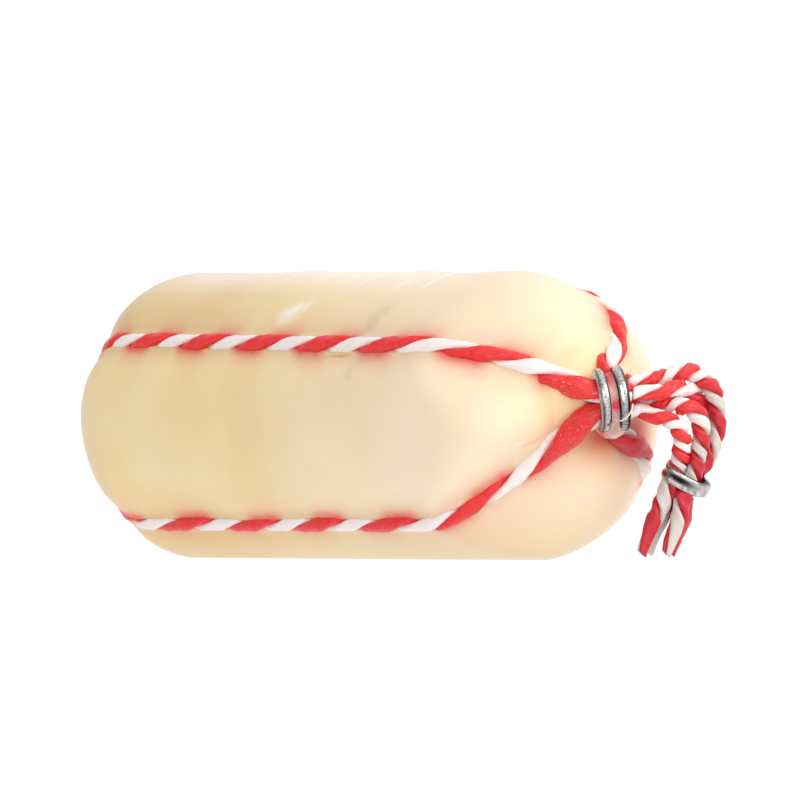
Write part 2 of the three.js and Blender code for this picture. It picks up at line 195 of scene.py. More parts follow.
# How thick the twine is, as a share of its usual size, at distances from the neck: wax swells it there
SIZES = [
    [(0, 1), (8, 1.05), (11, 1.3), (17, 1.3), (30, 1.08)],
    [(0, 1), (10, 1.1), (30, 1.05)],
    [(0, 1), (10, 1.25), (30, 1.25), (40, 1.05)],
    [(0, 1), (8, 1.1), (11, 1.4), (19, 1.4), (34, 1.15), (60, 1.08)],
]
# How much deeper than usual the wax holds the twine, in millimetres, at places along its furrow's outline
SINKS = [
    [(0, 0.8), (0.1, 1.5), (0.22, 1.5), (0.3, 0)],
    [(0, 0.8), (0.2, 0.9), (0.3, 0), (0.68, 0), (0.73, 1.3), (0.8, 1), (0.87, 0)],
    [(0, 0.8), (0.2, 0.9), (0.3, 0), (0.66, 0), (0.72, 2.6), (0.83, 2.6), (0.88, 0)],
    [(0, 0.8), (0.1, 1.3), (0.22, 1.3), (0.3, 0)],
]
# Sunk this deep, a twine is under the wax and neither stains nor lifts it
BURIED = (1.6, 2.4)
# How deep a painted shade, crimson on the red ply and grey on the white, the twine of each line has near
# the neck, and the distances from the neck over which that fades. A tail takes the painted shade over its
# own distances.
DEEP_SHADE = [0, 0, 1, 0.15]
DEEP_SHADE_REACH = (22, 29)
TAIL_DEEP_SHADE_REACH = (13, 26)
# The sizes of the red and the white ply, as shares of the usual
RED_SHARE = 1.1
WHITE_SHARE = 0.93
# How much broader a ply is near the neck, and the distances over which that and the wax on it fade
BROAD_AT_CLIP = 0.2
BROAD_REACH = (17, 30)
WET_REACH = (12, 42)
# How wet with wax a tail is, and its size at distances along it
TAIL_WET = 0.6
TAIL_SIZES = [(0, 1), (9, 1.05), (17, 1.22), (23, 1.16), (30, 1.05), (61, 1.08)]
# Each tail's share of its size at distances from its end
TIP = [(0, 0.62), (8, 1)]
# Where the red ply of each tail lies, in degrees round it from the camera's side, at distances along it,
# and how much broader than round the tail's plies are
TAIL_TURNS = {
    "tail_front": [(0, 198), (7.7, 0), (19.9, -360), (28.5, -720), (36.5, -1080), (46, -1240), (60, -1300)],
    "tail_top": [(0, 220), (5.9, 0), (13.6, -360), (19.4, -720), (28, -1080), (37.7, -1440), (48, -1820),
                 (61, -1900)],
    "tail_back": [(0, 400), (8.4, 0), (14.4, -360), (22, -720), (28.1, -1080), (36, -1440), (42, -1610),
                  (50, -1690)],
    "tail_bottom": [(0, 205), (7.4, 0), (13.2, -360), (17.5, -720), (22, -1080), (29, -1270), (34, -1420),
                    (42, -1475)],
}
TAIL_BROAD = {
    "tail_front": [(0, 1), (34, 1), (46, 1.3), (60, 1.05)],
    "tail_top": [(0, 1), (36, 1), (48, 1.3), (61, 1.05)],
    "tail_back": [(0, 1), (25, 1), (36, 1.3), (50, 1.05)],
    "tail_bottom": [(0, 1), (18, 1), (29, 1.25), (42, 1)],
}
# The twine's finish: how strong the wax's flecks, painted lighter as glints, are when dry, the stretch of
# the noise that makes them, and the slant of the fibres across the ply, in radians
DRY_FLECK_GLINTS = 0.22
FLECK_GLINT_CRESTS = (0.59, 0.67)
FIBRE_SLANT = -0.35
# The slanted cut at a tail's end: the side that it favours, its slope and the stretch that gives way to it
CUT_SIDE = from_view([1, 0, 0])
CUT_SLANT = 0.5
CUT_STRETCH = 3.0

# The grid of the cheese's skin, fine beside the twines
NEAR_TWINE = 6.0
NEAR_COLUMNS = 31
NEAR_LEAST_RADIUS = 9
LOBE_COLUMNS = 47
# The sectors in the order of their columns, so that the unrolled skin's seam lies behind the log
SECTOR_ORDER = [2, 3, 0, 1]
LEFT_ROWS = 74
STRAIGHT_ROWS = 100
RIGHT_ROWS = 130

# The wax: how it climbs the twine, the dye that bleeds into it, and how it is dented and wrinkled. Places
# are along the log and in degrees round it, heights and sizes in millimetres.
MENISCUS = {"height": 0.45, "width": 0.8}
# A twine leaves the wax over this far on both sides of its place, and the relief fades between two radii
HOLD_FADE = 3
RELIEF_FADE = (2, 10)
# The dye starts this far from the twine's middle, where the red ply touches the wax and a little past that.
# The shade round it keeps a least strength.
STAIN_START = 1.9
STAIN_OVERLAP = 0.35
SHADE_LEAST = 0.4
# How far the dye reaches below and above each twine, and the fainter shade beyond it
STAIN_REACHES = [(1.5, 1.0), (1.2, 1.2), (1.5, 1.5), (0.8, 1.7)]
SHADE_REACH = 2.6
# The width of the tan painted shade in the furrow beside each twine
FURROW_SHADE_WIDTH = 4.5
# The warm painted glow of light round the gather, and the reddish painted shadow in the pit beside the clip
GLOW = {"reach": 14.0, "strength": 0.95}
CLIP_SHADOW = {"centres": from_view([[53, 57.5, 28.5], [61, 48.5, 28.5]]), "reach": 6.4, "strength": 1.0}
# How far the coat's surface lies within the plain shape's, so that its waves stay inside it
COAT_INSET = 0.25
# Dents: place along the log, angle round it, turn in degrees, length, width and height
DENTS = [
    (24, 22, 70, 9, 4, -0.5), (2, -8, 20, 26, 10, -0.45), (60, -14, -20, 10, 6, -0.5),
    (-30, 60, 0, 22, 9, -0.5), (-10, 160, 10, 24, 12, -0.5), (20, 255, 60, 14, 8, -0.4),
]
# Marks in the wax, as strokes on the unrolled skin: start and end, each as (along the log, round it from
# the front), and width in millimetres, then colour and strength. The white scuffs are painted lighter as
# highlights, and the folds darker as painted shade.
SKIN_RADIUS = 34.0
WHITE_SCUFF_HIGHLIGHT = "#fffaf2"
FOLD_SHADE = "#d8bd8a"
MARKS = [
    ((12.7, 36), (12.7, 52), 1.1, WHITE_SCUFF_HIGHLIGHT, 0.85),
    ((35.3, 34.6), (36.7, 41.5), 1.1, WHITE_SCUFF_HIGHLIGHT, 0.95),
    ((36.7, 40), (33.4, 52), 1.6, WHITE_SCUFF_HIGHLIGHT, 1.0),
    ((26.1, 34), (28.3, 42), 1.0, WHITE_SCUFF_HIGHLIGHT, 0.7),
    ((-4.4, 22.8), (2.6, 29), 3.6, WHITE_SCUFF_HIGHLIGHT, 0.5),
    ((3.0, 26.2), (4.6, 31.8), 1.4, WHITE_SCUFF_HIGHLIGHT, 0.4),
    ((-1.5, 25), (3.2, 30.4), 1.6, WHITE_SCUFF_HIGHLIGHT, 0.5),
    ((67.2, -15.9), (68.7, -14.4), 0.9, WHITE_SCUFF_HIGHLIGHT, 0.6),
    ((26.7, 20.6), (27.8, 27), 2.8, FOLD_SHADE, 0.4),
    ((27.2, 25.6), (32, 29.2), 2.4, FOLD_SHADE, 0.3),
    ((25.2, 12.6), (27.4, 7.4), 1.5, FOLD_SHADE, 0.3),
    ((-44.2, 46.2), (-42, 49.6), 0.5, "#a06f45", 0.9),
    ((16.8, 14.6), (25.8, 15.1), 0.5, "#f2a263", 0.8),
    ((67.4, -19), (69.6, -17.2), 2.2, "#f9c7a0", 0.8),
]
# The noises in the wax, as (millimetres, detail): mottle, fine grain, patches, specks, dimples, satin
WAX_NOISES = [(28, 3), (5, 3), (4, 2), (3, 2), (7, 2), (9, 2)]
# A mark fades over this part of the way from its edge to its middle
MARK_FADE = (0, 0.6)
# The stretches over which the wax's tints grow to full, in millimetres: palest towards the gathered end, a
# painted light; warm at the low left; yellow underneath; whitish on top with a painted sheen; and a tan
# painted shade at the upper left. Below and under are heights, low and high lie round the log from the
# front, and left and right lie along it.
LIT_PALE_END = (-8, 46)
WARM = {"below": (20, 0), "left": (-5, -45)}
UNDER = (16, 0)
WHITISH_TOP_SHEEN = {"low": (33, 44), "high": (76, 52), "left": (-66, -44), "right": (46, 26)}
TAN_SHADE = {"low": (11, 27), "high": (110, 80), "left": (2, -34)}
# Waves of the coat's thickness: their height, their pace along the log and how they wind round it
WAVES = [
    {"height": 0.22, "long": 7.5, "start": 0.4, "turns": 3, "skew": 30},
    {"height": 0.16, "long": 4.1, "start": 1.9, "turns": 5, "skew": -22},
]

# The gathering clip's bands, in millimetres, as angles round the neck from the front
BAND_RADIUS = 6.45
BAND_WIDTH = 2.5
BAND_THICK = 1.9
BAND_ROWS = 150
BAND_SIDES = 28
# A band's rounded ends: how long they are, and the least share of the section that is left
BAND_END = 1.1
BAND_TIP = 0.02
# A band's section: the power that squares it, and the height and power of its flattened inner face
BAND_SQUARE = 0.8
BAND_INNER = 0.45
BAND_INNER_POWER = 0.5
# The pinched ridges near a band's lower end, on the outer part of its section, and the depth at which a
# ridge's valley is painted fully dark as shade
RIDGE_PITCH = 0.85
RIDGE_STRETCH = 5.0
RIDGE_FROM = 0.3
RIDGE_DEEP = 0.3
# Painted dark reflections along a band's edges and on one dark line, and painted shade at its lower end
EDGE_SHADE = 1.3
EDGE_POWER = 3.0
LOW_SHADE = (0.42, 0.62)
LINE_SPREAD = 0.22
BANDS = [
    {"name": "left", "along": 1.0, "from": 86, "to": -97, "ridges": 0.0, "edges": (0.1, 1.6), "low": 0.25,
     "line": (-0.5, 0.75)},
    {"name": "right", "along": 5.35, "from": 88, "to": -99, "ridges": 0.3, "edges": (1.2, 1.9), "low": 0.4,
     "line": (0.55, 0.7)},
]

# The tassel's clip: its place and lean, its wall, the bulge on its right and the groove in the rest, and
# the painted dark reflection and shade along the groove on the side of it that faces the camera, with
# angles in degrees
RING = {
    "centre": from_view([71.5, 57.0, 18.5]), "tilt": 29, "lean": 16, "inner_half": 4.2, "squareness": 3.4,
    "thick": 0.95, "crown": 0.7, "width": 3.5, "rim": 0.6, "bulge": 1.3, "bulge_spread": 24, "widens": 0.12,
    "groove": 0.6, "groove_wide": 0.35, "groove_gap": 40, "dark_at": 100, "dark_spread": 48, "dark": 1.5,
    "dark_rim": 0.1, "dark_wide": 0.5, "facing_edges_unshaded": 0.8, "plain": 0.4,
}
RING_ROWS = 160
RING_SIDES = 30

# The wax film round the neck: its angles from the neck's front, its places along the neck and its radii.
# The spots of dye in it are (angle, place, spread in degrees, spread in millimetres, strength).
FILM = {"from": 104, "to": -140, "start": 0.6, "end": 5.9, "inner": 4.5, "outer": 6.3, "flare": 1.7,
        "wall": 0.2, "edge_power": 6}
FILM_ROWS = 90
FILM_COLUMNS = 40
RIPPLE = {"height": 0.12, "degrees": 7, "rate": 2.1}
LUMP = {"angle": -98, "spread": 26, "height": 2.9, "along": 2.9, "reach": 4.2}
DYE_SPOTS = [
    (60, 2.6, 34, 2.6, 1.1), (-15, 3.6, 11, 1.5, 1.5), (-118, 4, 14, 3.5, 0.6), (-85, 0.2, 12, 1.2, 0.7),
]
FIBRE = [[56.7, 66.2, 31.0], [57.6, 66.8, 31.4], [58.5, 67.2, 32.2], [59.2, 67.0, 33.3], [59.6, 66.4, 34.8]]
FIBRE_RADIUS = 0.16
FIBRE_STEP = 0.2
FIBRE_SIDES = 8

# Camera and light, in millimetres for the camera and metres for the rest
CAMERA_PLACE = from_view([0, 1100, 8.7]) - MIDDLE
CAMERA_TARGET = from_view([8.43, 0, 37.4]) - MIDDLE
CAMERA_LENS_MM = 209.9
SENSOR_MM = 36
CAMERA_CLIP = (0.01, 20)
LIGHT_TARGET = Vector((0, 0, 0.035))
# The soft boxes: place (right, toward, up) and size in metres, power in watts and colour
LIGHTS = {
    "key": ([1.0, 0.8, 0.85], 0.9, 8, "#fffaf2"),
    "fill": ([-0.3, 1.7, 0.4], 1.6, 8, "#ffffff"),
}
WORLD_STRENGTH = 1.03
WORLD_STOPS = [(0.0, "#ffffff"), (0.42, "#ffffff"), (0.72, "#e8e8e8"), (1.0, "#b4b4b4")]
WORLD_DARK_SIDE = unit(from_view([-0.8, 0.45, 0.45]))


# Putting arrays into meshes

def grid_triangles(rows, columns, closed_rows=False):
    """Two triangles for each cell of a grid that closes round its columns, and round its rows if asked."""
    last = rows if closed_rows else rows - 1
    r, c = np.meshgrid(np.arange(last), np.arange(columns), indexing="ij")
    below, beside = (r + 1) % rows, (c + 1) % columns
    corners = [r * columns + c, r * columns + beside, below * columns + beside, below * columns + c]
    a, b, d, e = (x.ravel() for x in corners)
    return np.concatenate([np.stack([a, b, d], 1), np.stack([a, d, e], 1)])


def fan(ring, centre):
    """Triangles from each edge of a ring of vertex numbers to one centre vertex."""
    return np.stack([ring, np.roll(ring, -1), np.full(len(ring), centre)], 1)


def capped(grid):
    """A tube's grid of points (rows, columns, 3) closed at both ends by a fan to a middle point."""
    rows, columns, _ = grid.shape
    points = np.concatenate([grid.reshape(-1, 3), grid[:1].mean(1), grid[-1:].mean(1)])
    first = np.arange(columns)
    last = first + (rows - 1) * columns
    ends = [fan(first[::-1], rows * columns), fan(last, rows * columns + 1)]
    return points, np.concatenate([grid_triangles(rows, columns), *ends])


def with_ends(values):
    """The values of a tube's vertices, and the first and last again for the middles of its ends."""
    return np.concatenate([values, values[:1], values[-1:]])


def volume(points, triangles):
    """The signed volume of a closed shell: a sixth of the sum of its corners' triple products."""
    a, b, c = (points[triangles[:, i]] for i in range(3))
    return np.einsum("ij,ij->", a, np.cross(b, c)) / 6


def piece(name, shells, materials, replaces=(), values=None):
    """A mesh object of closed shells. Each shell is (points in millimetres, triangles, material number,
    pattern coordinates or None). Values are named numbers for each vertex."""
    points, triangles, numbers, patterns, start = [], [], [], [], 0
    for p, t, number, pattern in shells:
        t = t if volume(p, t) > 0 else t[:, ::-1]
        points.append(p - MIDDLE)
        triangles.append(t + start)
        numbers.append(np.full(len(t), number))
        patterns.append(np.zeros((len(p), 2)) if pattern is None else pattern)
        start += len(p)
    points, triangles = np.concatenate(points) * MM, np.concatenate(triangles)
    mesh = bpy.data.meshes.new(name)
    mesh.vertices.add(len(points))
    mesh.vertices.foreach_set("co", points.astype(np.float32).ravel())
    mesh.loops.add(triangles.size)
    mesh.loops.foreach_set("vertex_index", triangles.astype(np.int32).ravel())
    mesh.polygons.add(len(triangles))
    mesh.polygons.foreach_set("loop_start", np.arange(0, triangles.size, 3, dtype=np.int32))
    mesh.polygons.foreach_set("material_index", np.concatenate(numbers).astype(np.int32))
    mesh.update()
    mesh.validate()
    mesh.shade_smooth()
    mesh.uv_layers.new(name="lay").data.foreach_set(
        "uv", np.concatenate(patterns)[triangles.ravel()].astype(np.float32).ravel())
    for key, each in (values or {}).items():
        mesh.attributes.new(key, "FLOAT", "POINT").data.foreach_set("value", each.astype(np.float32))
    for material in materials:
        mesh.materials.append(material)
    made = bpy.data.objects.new(name, mesh)
    bpy.context.collection.objects.link(made)
    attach(made, "root")
    if replaces:
        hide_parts(*replaces)
    return made


# Routes of the twines

def smooth_line(controls, step):
    """A line through the control points: centripetal Catmull-Rom arcs, respaced to even steps. It gives the
    points, the distances along, and the distance along of each control point."""
    p = np.asarray(controls, float)
    p = np.concatenate([[2 * p[0] - p[1]], p, [2 * p[-1] - p[-2]]])
    gaps = np.sqrt(np.linalg.norm(np.diff(p, axis=0), axis=1))
    knots = np.concatenate([[0], np.cumsum(gaps)])
    fine = 24
    u = np.arange(fine) / fine
    k = [knots[i:len(knots) - 3 + i, None] for i in range(4)]
    q = [p[i:len(p) - 3 + i, None, :] for i in range(4)]
    t = k[1] + (k[2] - k[1]) * u

    def between(a, b, from_knot, to_knot):
        """Points from a to b, by the share of t between two knots."""
        share = ((t - from_knot) / (to_knot - from_knot))[..., None]
        return a * (1 - share) + b * share

    for wide in (1, 2):
        q = [between(q[i], q[i + 1], k[i], k[i + wide]) for i in range(4 - wide)]
    line = np.concatenate([between(*q, k[1], k[2]).reshape(-1, 3), p[-2:-1]])
    along = np.concatenate([[0], np.cumsum(np.linalg.norm(np.diff(line, axis=0), axis=1))])
    even = np.linspace(0, along[-1], int(round(along[-1] / step)) + 1)
    points = np.stack([np.interp(even, along, line[:, i]) for i in range(3)], 1)
    return points, even, along[::fine]


def frames_of(points, side_hint):
    """Tangent, normal and side at each point of a line: the side is the hint made square to the tangent."""
    tangent = unit(np.gradient(points, axis=0))
    side = unit(side_hint - tangent * np.sum(side_hint * tangent, 1, keepdims=True))
    return tangent, np.cross(side, tangent), side


def cap(edge, depth, radius, roundness, angle):
    """A rounded end (s, r): the cosine and sine of the angle, each to the power 2 / roundness."""
    power = 2 / roundness
    along = np.clip(np.cos(angle), 0, 1) ** power
    return edge + depth * along, radius * np.clip(np.sin(angle), 0, 1) ** power


def outline(t, radii, left_depth, edge, depth, roundness):
    """The log's outline (s, r) at the row parameter t: left cap, straight taper, right cap."""
    left = cap(LEFT_EDGE, -left_depth, radii[0], LEFT_ROUNDNESS, t / LEFT_SHARE * math.pi / 2)
    right = cap(edge, depth, radii[1], roundness, (1 - t) / RIGHT_SHARE * math.pi / 2)
    u = (t - LEFT_SHARE) / (1 - LEFT_SHARE - RIGHT_SHARE)
    middle = LEFT_EDGE + (edge - LEFT_EDGE) * u, radii[0] + (radii[1] - radii[0]) * u
    return [np.where(t < LEFT_SHARE, a, np.where(t > 1 - RIGHT_SHARE, c, b))
            for a, b, c in zip(left, middle, right)]


def lobe(t):
    """The outline (s, r) of the skin between furrows."""
    return outline(t, (LEFT_RADIUS, RIGHT_RADIUS), LEFT_CAP, RIGHT_EDGE, RIGHT_CAP, RIGHT_ROUNDNESS)


def furrow(t, k):
    """The outline (s, r) of furrow k: shallower than the lobe's and carried on to the gather."""
    radii = (LEFT_RADIUS - FURROW_DEPTH, RIGHT_RADIUS - FURROW_DEPTH)
    edge = LINES[k]["edge"]
    return outline(t, radii, LEFT_CAP - FURROW_LEFT_INSET, edge, GATHER - edge, LINES[k]["roundness"])


def furrow_normal(t, k, step=0.001):
    """The outward direction (s, r) of a furrow's outline: its slope turned a quarter."""
    a, b = (np.stack(furrow(np.clip(t + d, 0, 1), k), -1) for d in (-step, step))
    d = unit(b - a)
    return -d[..., 1], d[..., 0]


def axis_height(s):
    """The height of the log's axis, which falls evenly as the log narrows."""
    u = (s - LEFT_EDGE) / (RIGHT_EDGE - LEFT_EDGE)
    return LEFT_RADIUS - FLAT_SPOT_DEPTH + (RIGHT_RADIUS - LEFT_RADIUS) * u


def place(s, r, angle):
    """A point from s along the log, r from its axis and an angle round it, the gathered end shifted."""
    start = RIGHT_EDGE - GATHER_SHIFT["reach"]
    shift = np.clip((s - start) / (GATHER - start), 0, 1) * np.clip(1 - r / RIGHT_RADIUS, 0, 1)
    y = -r * np.cos(angle) + GATHER_SHIFT["y"] * shift
    z = axis_height(s) + r * np.sin(angle) + GATHER_SHIFT["z"] * shift
    return np.stack([s + 0 * r, y, z], -1)


def line_angle(t, k):
    """The angle of furrow k round the log: it leans towards the left and turns towards the gather."""
    rim = 1 - RIGHT_SHARE
    lean = LINES[k]["lean"] * np.clip(1 - t / rim, 0, None)
    turn = LINES[k]["turn"] * np.clip((t - rim) / RIGHT_SHARE, 0, None)
    return (LINES[k]["angle"] + lean + turn) * DEG


def neck_point(k, along):
    """Where strand k lies along the neck: on a circle round it, turned by the wind."""
    a = (NECK_ANGLES[k] + NECK_WIND * (1 - along / NECK_END)) * DEG
    around = NECK_FRONT * math.cos(a) + NECK_UP * math.sin(a)
    return NECK_START + NECK * along + around * NECK_PITCH_RADIUS


def furrow_controls(k, hump):
    """Control points of twine k from the neck to the left pole, with the row parameter of each."""
    lead = LEADS[k]
    points = [neck_point(k, NECK_END)]
    if lead["enter"] < NECK_END / 2:
        points.append(neck_point(k, NECK_END / 2))
    points += [neck_point(k, lead["enter"]), *(from_view(p) for p in lead["points"])]
    right_radius = RIGHT_RADIUS - FURROW_DEPTH
    leave = math.asin((lead["leave"] / right_radius) ** (LINES[k]["roundness"] / 2))
    start = 1 - RIGHT_SHARE * leave / (math.pi / 2)
    t = np.linspace(start, ROUTE_STOP, ROUTE_POINTS)
    s, r = furrow(t, k)
    ns, nr = furrow_normal(t, k)
    crossing = np.where(t < LEFT_SHARE, hump * bell(r, CROSSING_HUMP["radius"]), 0)
    lift = crossing - TWINE_SINK - from_table(t, SINKS[k])
    on_cheese = place(s + ns * lift, r + nr * lift, line_angle(t, k))
    none = np.full(len(points), np.nan)
    return np.concatenate([points, on_cheese]), np.concatenate([none, t])


def side_of(k):
    """The direction round the log at furrow k, in which the angle grows."""
    a = LINES[k]["angle"] * DEG
    return np.array([0, math.sin(a), math.cos(a)])


def twist(along, pitches):
    """The red ply's phase: minus a turn for each pitch, a left-handed lay. Pitches are (place, pitch)."""
    rate = 1 / from_table(along, pitches)
    steps = np.diff(along) * (rate[1:] + rate[:-1]) / 2
    return -2 * math.pi * np.concatenate([[0], np.cumsum(steps)])


def net_twine(a, b, hump):
    """The route of a whole twine: in along furrow a, over the left pole and back along furrow b."""
    points_a, t_a = furrow_controls(a, hump)
    points_b, t_b = furrow_controls(b, hump)
    controls = np.concatenate([points_a, points_b[::-1]])
    points, along, at = smooth_line(controls, TWINE_STEP)
    pole = (at[len(points_a) - 1] + at[len(points_a)]) / 2
    share = smooth(along, pole - POLE_BLEND, pole + POLE_BLEND)[:, None]
    hint = side_of(a) * (1 - share) - side_of(b) * share
    tangent, normal, side = frames_of(points, hint)
    length = along[-1]
    from_a = PHASES[a] * DEG + twist(along, PITCHES[a])
    from_b = -PHASES[b] * DEG - twist(length - along[::-1], PITCHES[b])[::-1]
    middle = np.searchsorted(along, pole)
    gap = from_b[middle] - from_a[middle]
    turns = round(gap / (2 * math.pi))
    from_b = from_b - 2 * math.pi * turns
    gap = gap - 2 * math.pi * turns
    ease = smooth(along, pole - POLE_EASE, pole + POLE_EASE)
    phase = np.where(along < pole, from_a + gap * ease, from_b - gap * (1 - ease))
    from_end = np.minimum(along, length - along)
    near = [from_table(from_end, SIZES[k]) for k in (a, b)]
    soaked = np.where(along < pole, DEEP_SHADE[a], DEEP_SHADE[b]) * (1 - smooth(from_end, *DEEP_SHADE_REACH))
    return {"points": points, "along": along, "tangent": tangent, "normal": normal, "side": side,
            "broad": 1 + BROAD_AT_CLIP * (1 - smooth(from_end, *BROAD_REACH)),
            "phase": phase, "size": np.where(along < pole, *near), "wet": 1 - smooth(from_end, *WET_REACH),
            "soaked": soaked, "lines": {a: (at[:len(t_a)], t_a, 1), b: (at[len(t_a):][::-1], t_b, -1)}}


def ply_direction(route, turn):
    """Where a ply lies round the twine: the normal turned to the side by the phase and a further turn."""
    angle = (route["phase"] + turn)[:, None]
    outward = np.cos(angle) * route["normal"] + np.sin(angle) * route["side"]
    across = -np.sin(angle) * route["normal"] + np.cos(angle) * route["side"]
    return outward, across


def ply(route, turn, number, share, slant=0.0):
    """One ply: an oval carried along the route beside the twine's middle, bulging a little by a slow wave.
    Its last stretch is cut at a slant, and its pattern runs along and round it in millimetres."""
    outward, across = ply_direction(route, turn)
    along = route["along"][:, None, None]
    middle = route["points"][:, None, :]
    v = circle(PLY_SIDES)[None, :, None]
    slow = np.sin(along * PLY_SWELL["slow"] + PLY_SWELL["start"])
    swell = 1 + PLY_SWELL["height"] * np.sin(along * PLY_SWELL["fast"] + turn * 2) * slow
    scale = route["size"][:, None, None] * swell * share
    deep = (PLY_OFFSET / share + PLY_THICK * np.cos(v)) * scale
    wide = PLY_WIDE * np.sin(v) * scale * route["broad"][:, None, None]
    grid = middle + outward[:, None, :] * deep + across[:, None, :] * wide
    if slant:
        beside = np.sum((grid - middle) * CUT_SIDE, 2, keepdims=True)
        end = smooth(along, along.max() - CUT_STRETCH, along.max())
        grid = grid + route["tangent"][:, None, :] * beside * slant * end
    points, triangles = capped(grid)
    pattern = np.stack(np.broadcast_arrays(along, v * PLY_WIDE), -1).reshape(-1, 2)
    return points, triangles, number, with_ends(pattern)


def tail_route(name):
    """A free tail's route. Its red ply turns as TAIL_TURNS says, counted from the camera's side."""
    points, along, _ = smooth_line(from_view(TAILS[name]), TAIL_STEP)
    tangent, normal, side = frames_of(points, np.broadcast_to(np.cross(NECK, TOWARD), points.shape))
    to_camera = CAMERA_PLACE + MIDDLE - points
    facing = np.unwrap(np.arctan2(np.sum(to_camera * side, 1), np.sum(to_camera * normal, 1)))
    return {"points": points, "along": along, "tangent": tangent, "normal": normal, "side": side,
            "phase": facing + from_table(along, TAIL_TURNS[name]) * DEG,
            "size": (from_table(along, TAIL_SIZES) * from_table(along[-1] - along, TIP)
                     * TAIL_RADIUS / TWINE_RADIUS),
            "broad": from_table(along, TAIL_BROAD[name]), "wet": np.full(len(along), TAIL_WET),
            "soaked": smooth(along, *TAIL_DEEP_SHADE_REACH)}


def ply_values(route):
    """How wet with wax each vertex of a twine's two plies is, and how deep its painted shade."""
    values = {}
    for key in ("wet", "soaked"):
        values[key] = np.tile(with_ends(np.repeat(route[key], PLY_SIDES)), 2)
    return values


# The waxed cheese

def sector_columns():
    """Columns of the skin in one sector: millimetres from the twine, and the share across the lobe."""
    near = np.linspace(-NEAR_TWINE, NEAR_TWINE, NEAR_COLUMNS)
    across = np.arange(1, LOBE_COLUMNS + 1) / (LOBE_COLUMNS + 1)
    return np.concatenate([near, np.full(LOBE_COLUMNS, NEAR_TWINE)]), np.concatenate([0 * near, across])


def skin_grid():
    """The grid of the skin: row parameters, and the angle of each column, which follows the twines."""
    t = np.concatenate([
        LEFT_SHARE * np.arange(1, LEFT_ROWS) / LEFT_ROWS,
        LEFT_SHARE + (1 - LEFT_SHARE - RIGHT_SHARE) * np.arange(STRAIGHT_ROWS) / STRAIGHT_ROWS,
        1 - RIGHT_SHARE * (1 - np.arange(RIGHT_ROWS) / RIGHT_ROWS)])[:, None]
    offset, across = sector_columns()
    angles = []
    for k in SECTOR_ORDER:
        after = (k + 1) % len(LINES)
        half, next_half = (NEAR_TWINE / np.maximum(furrow(t, i)[1], NEAR_LEAST_RADIUS) for i in (k, after))
        here = line_angle(t, k)
        sector = np.mod(line_angle(t, after) - here, 2 * math.pi)
        angles.append(here + half * offset / NEAR_TWINE + across * (sector - half - next_half))
    return t, np.unwrap(np.concatenate(angles, 1), axis=1) - 2 * math.pi


def turn_between(a, b):
    """The turn from angle b to angle a, from minus to plus half a turn."""
    return np.mod(a - b + math.pi, 2 * math.pi) - math.pi


def skin(t, angle):
    """A point (s, r) of the skin: the lobes' outline drawn down to each furrow's by a bell of the distance
    from it, less the pit at the crossing and the dimple at the gather."""
    ls, lr = lobe(t)
    width = FURROW_LEFT_WIDTH + (FURROW_RIGHT_WIDTH - FURROW_LEFT_WIDTH) * np.clip(
        (t - FURROW_WIDENS[0]) / (FURROW_WIDENS[1] - FURROW_WIDENS[0]), 0, 1)
    weights = [bell(np.maximum(lr, LEAST_RADIUS) * turn_between(angle, line_angle(t, k)), width)
               for k in range(len(LINES))]
    total = np.maximum(1, sum(weights))
    s, r = ls + 0 * angle, lr + 0 * angle
    for k, w in enumerate(weights):
        fs, fr = furrow(t, k)
        s = s + (fs - ls) * w / total
        r = r + (fr - lr) * w / total
    pit = CROSSING_PIT["depth"] * (1 - smooth(r, CROSSING_PIT["inner"], CROSSING_PIT["outer"]))
    dimple = DIMPLE["depth"] * bell(r, DIMPLE["radius"])
    return s + np.where(t < 0.5, pit, -dimple), r


def twine_stain(route, t, k, offset):
    """How red the wax is beside twine k, and how shaded further out: strongest where the red ply touches
    it, and falling by an exponential of the distance, with a reach for each side."""
    at, at_t, sign = route["lines"][k]
    known = ~np.isnan(at_t)
    s = np.interp(t, at_t[known][::-1], at[known][::-1])
    phase = np.interp(s, route["along"], route["phase"])
    touch = np.clip(np.sin(phase) * np.sign(offset) * sign + STAIN_OVERLAP, 0, 1)
    away = np.clip(np.abs(offset) - STAIN_START, 0, None)
    reach = np.where(offset < 0, *STAIN_REACHES[k])
    shaded = SHADE_LEAST + (1 - SHADE_LEAST) * touch
    return touch * np.exp(-away / reach), shaded * np.exp(-away / SHADE_REACH)


